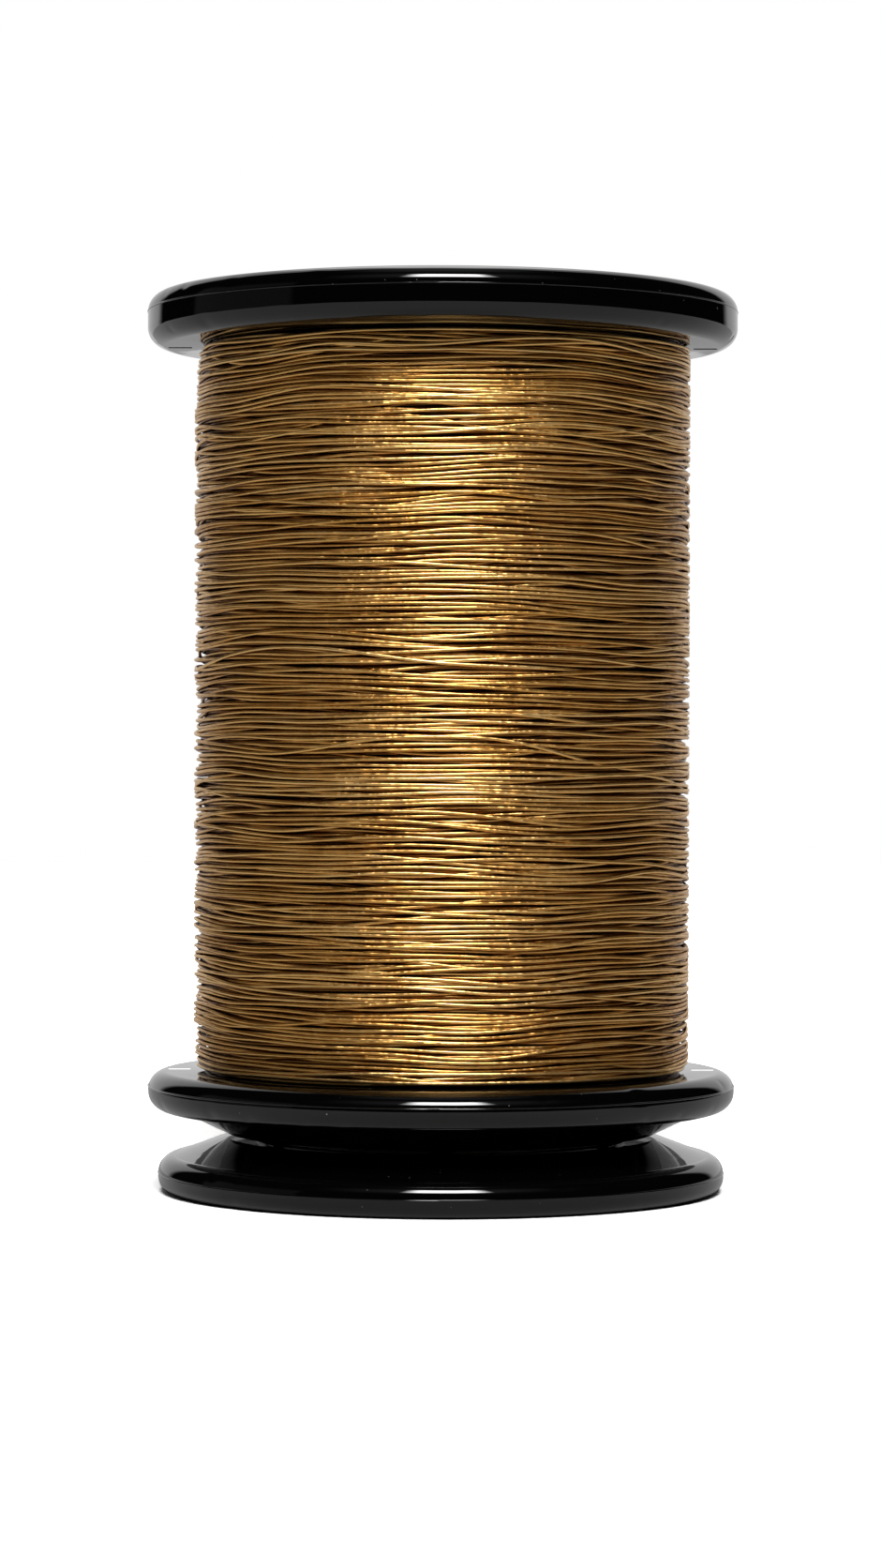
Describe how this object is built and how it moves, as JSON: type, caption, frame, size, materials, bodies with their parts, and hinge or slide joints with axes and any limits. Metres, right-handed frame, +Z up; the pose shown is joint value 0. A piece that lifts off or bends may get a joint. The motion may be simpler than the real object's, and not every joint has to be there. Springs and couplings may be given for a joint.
{
  "type": "wire spool",
  "caption": "Small flanged spool of fine gold-coloured wire with a snap base that traps the wire's free end in a V groove.",
  "frame": {"origin": "on the spool's axis, at the face that the base stands on", "axes": "+Z up along the spool's axis, from the snap base to the top flange; the wire's free end crosses the lower flange on the +Y side"},
  "size_m": [0.02, 0.02, 0.0303],
  "materials": {
    "black_plastic": "glossy moulded",
    "gold_wire": "drawn and lacquered",
    "blank_label": "matt, blank"
  },
  "bodies": {
    "spool": {"spool_body": "black_plastic", "wire_winding": "gold_wire", "wire_start_tail": "gold_wire", "wire_finish_tail": "gold_wire", "top_label": "blank_label"},
    "base": {"snap_base": "black_plastic", "base_label": "blank_label"}
  },
  "joints": [
    {"name": "base_snap", "type": "slide", "parent": "spool", "child": "base", "axis": [0, 0, -1], "range_m": [0, 0.0012]}
  ]
}
